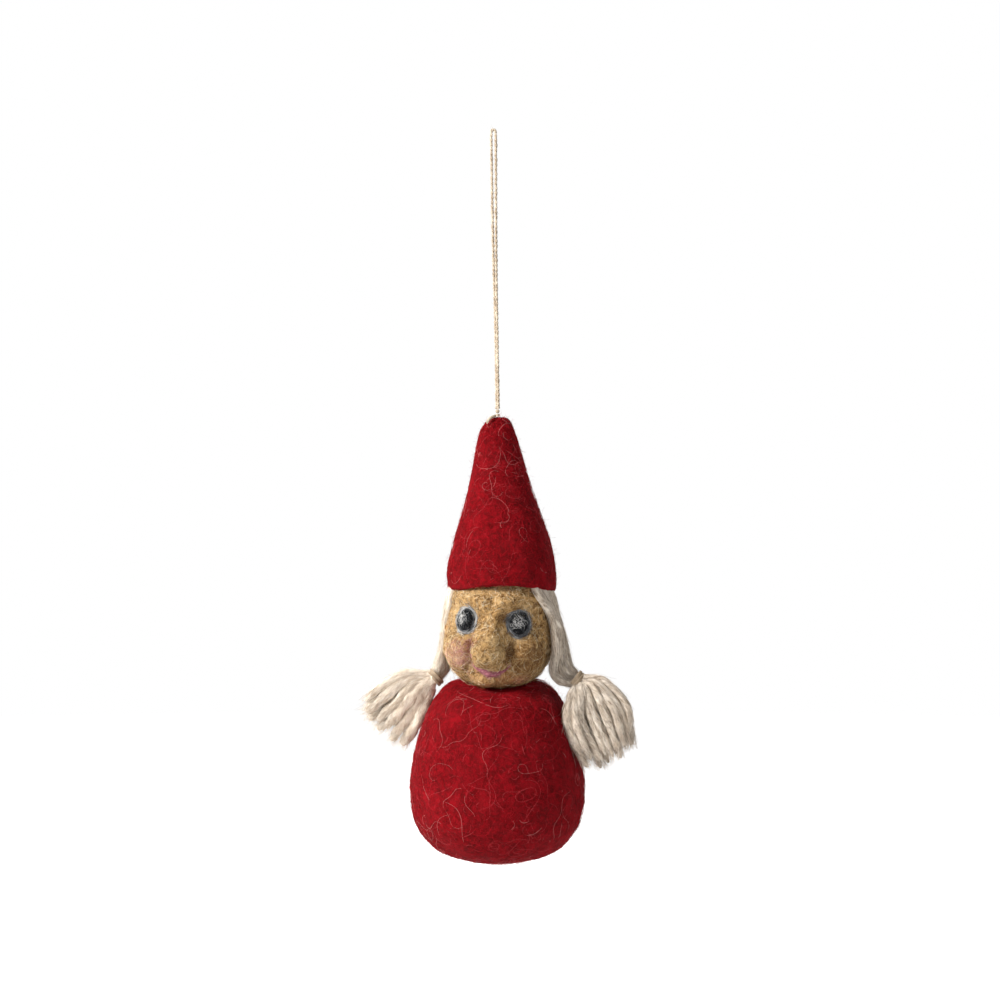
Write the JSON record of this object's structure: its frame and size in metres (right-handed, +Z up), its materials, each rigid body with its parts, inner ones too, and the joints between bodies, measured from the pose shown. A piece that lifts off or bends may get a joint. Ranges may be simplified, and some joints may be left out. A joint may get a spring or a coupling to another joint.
{
  "type": "hanging tomte ornament",
  "caption": "Felted wool tomte with an egg-shaped body, ball head, pointed hat and yarn pigtails that hangs from a loop of twine.",
  "frame": {"origin": "the point of the twine loop that rests on a hook or twig, at the inside of the loop's top bend", "axes": "+Z up along the hanging twine, -Y towards the viewer of the face, +X to that viewer's right"},
  "size_m": [0.0775, 0.0481, 0.1986],
  "materials": {
    "crimson_felt": "matt needle-felted wool with loose surface fibres",
    "skin_felt": "matt needle-felted tan wool",
    "core_wool": "undyed wool batting",
    "yarn": "softly spun undyed wool yarn",
    "tie_thread": "brown thread",
    "twine": "thin twisted jute twine",
    "eye_grey": "grey wool, needle-felted",
    "eye_black": "black wool, needle-felted",
    "eye_white": "white wool, needle-felted",
    "mouth_wool": "dusky pink wool, needle-felted",
    "blush_wool": "pink wool wisps, needle-felted"
  },
  "bodies": {
    "cord": {"hanging_cord": "twine"},
    "neck_link": {"cord_neck": "twine"},
    "stub_link": {"cord_stub": "twine"},
    "figure": {"cord_knot": "twine", "hat": "crimson_felt", "body_skin": "crimson_felt", "hat_stuffing": "core_wool", "head_core": "core_wool", "body_core": "core_wool", "head_skin": "skin_felt", "nose": "skin_felt", "chin_pad": "skin_felt", "left_cheek": "skin_felt", "right_cheek": "skin_felt", "left_blush": "blush_wool", "right_blush": "blush_wool", "mouth": "mouth_wool", "left_eye_ring": "eye_grey", "right_eye_ring": "eye_grey", "left_eye_pupil": "eye_black", "right_eye_pupil": "eye_black", "left_eye_glint": "eye_white", "right_eye_glint": "eye_white", "hair_crown": "yarn", "hair_lock_left": "yarn", "hair_lock_right": "yarn", "left_tie": "tie_thread", "right_tie": "tie_thread"},
    "left_pigtail": {"left_tassel": "yarn"},
    "right_pigtail": {"right_tassel": "yarn"}
  },
  "joints": [
    {"name": "swing_side", "type": "hinge", "parent": "cord", "child": "neck_link", "pos_m": [0.00115, 0, -0.07605], "axis": [0, 1, 0], "range_deg": [-80, 80]},
    {"name": "swing_fore", "type": "hinge", "parent": "neck_link", "child": "stub_link", "pos_m": [0.00115, 0, -0.07605], "axis": [1, 0, 0], "range_deg": [-80, 80]},
    {"name": "spin", "type": "hinge", "parent": "stub_link", "child": "figure", "pos_m": [0.00115, 0, -0.07605], "axis": [0, 0, 1], "continuous": true},
    {"name": "left_pigtail_lift", "type": "hinge", "parent": "figure", "child": "left_pigtail", "pos_m": [-0.01775, 0.00116, -0.1497], "axis": [0, 1, 0], "range_deg": [-5, 45], "stiffness_Nm_per_rad": 0.002},
    {"name": "right_pigtail_lift", "type": "hinge", "parent": "figure", "child": "right_pigtail", "pos_m": [0.02415, -0.00684, -0.1497], "axis": [0, -1, 0], "range_deg": [-5, 45], "stiffness_Nm_per_rad": 0.002}
  ]
}
